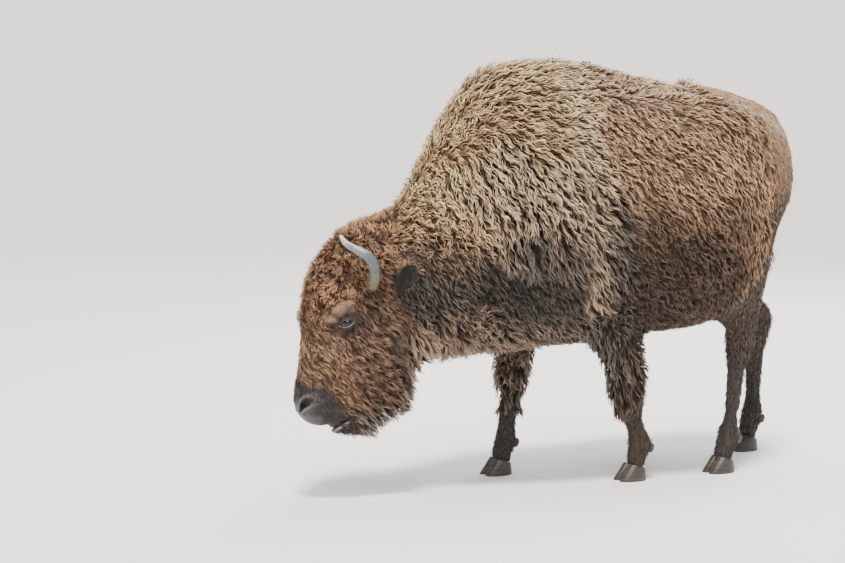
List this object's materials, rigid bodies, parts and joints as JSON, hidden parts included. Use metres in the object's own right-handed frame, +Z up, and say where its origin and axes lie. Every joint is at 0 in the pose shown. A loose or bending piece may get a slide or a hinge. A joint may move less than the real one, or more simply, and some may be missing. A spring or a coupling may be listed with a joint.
{
  "type": "american bison",
  "caption": "Life-size still model of a grazing bison cow in mid-stride: high woolly hump, lowered turned head with curved horns, dark legs, cloven hooves, thin tufted tail.",
  "frame": {"origin": "on the floor, under the middle of the animal's bounding box", "axes": "+Z up; the animal faces -X and its left side is towards -Y"},
  "size_m": [2.1082, 0.796, 1.5413],
  "materials": {
    "tan_wool": "light tan, thick curly wool",
    "brown_wool": "grey-brown, waved wool, darker below",
    "grey_hair": "grey-brown, short smooth hair",
    "rusty_hair": "reddish brown, curled hair",
    "dark_face": "short dark hair round bare black nose leather",
    "dark_hair": "blackish brown, straight hair",
    "horn": "blue-grey horn, worn smooth, ringed at the base",
    "hoof": "black hoof horn",
    "eye": "wet, dark brown, opaque"
  },
  "bodies": {
    "root": {"head": "rusty_hair", "jaw": "rusty_hair", "muzzle": "dark_face", "chin": "dark_face", "horn_left": "horn", "horn_right": "horn", "eye_left": "eye", "eye_right": "eye", "ear_left": "dark_hair", "ear_right": "dark_hair", "neck": "brown_wool", "chest": "tan_wool", "barrel": "brown_wool", "rump": "grey_hair", "tail": "grey_hair", "tail_tuft": "dark_hair", "foreleg_left_upper": "dark_hair", "foreleg_left_lower": "dark_hair", "foreleg_left_claw_left": "hoof", "foreleg_left_dewclaw_left": "hoof", "foreleg_left_claw_right": "hoof", "foreleg_left_dewclaw_right": "hoof", "foreleg_right_upper": "dark_hair", "foreleg_right_lower": "dark_hair", "foreleg_right_claw_left": "hoof", "foreleg_right_dewclaw_left": "hoof", "foreleg_right_claw_right": "hoof", "foreleg_right_dewclaw_right": "hoof", "hind_leg_left_upper": "dark_hair", "hind_leg_left_lower": "dark_hair", "hind_leg_left_claw_left": "hoof", "hind_leg_left_dewclaw_left": "hoof", "hind_leg_left_claw_right": "hoof", "hind_leg_left_dewclaw_right": "hoof", "hind_leg_right_upper": "dark_hair", "hind_leg_right_lower": "dark_hair", "hind_leg_right_claw_left": "hoof", "hind_leg_right_dewclaw_left": "hoof", "hind_leg_right_claw_right": "hoof", "hind_leg_right_dewclaw_right": "hoof"}
  },
  "joints": []
}
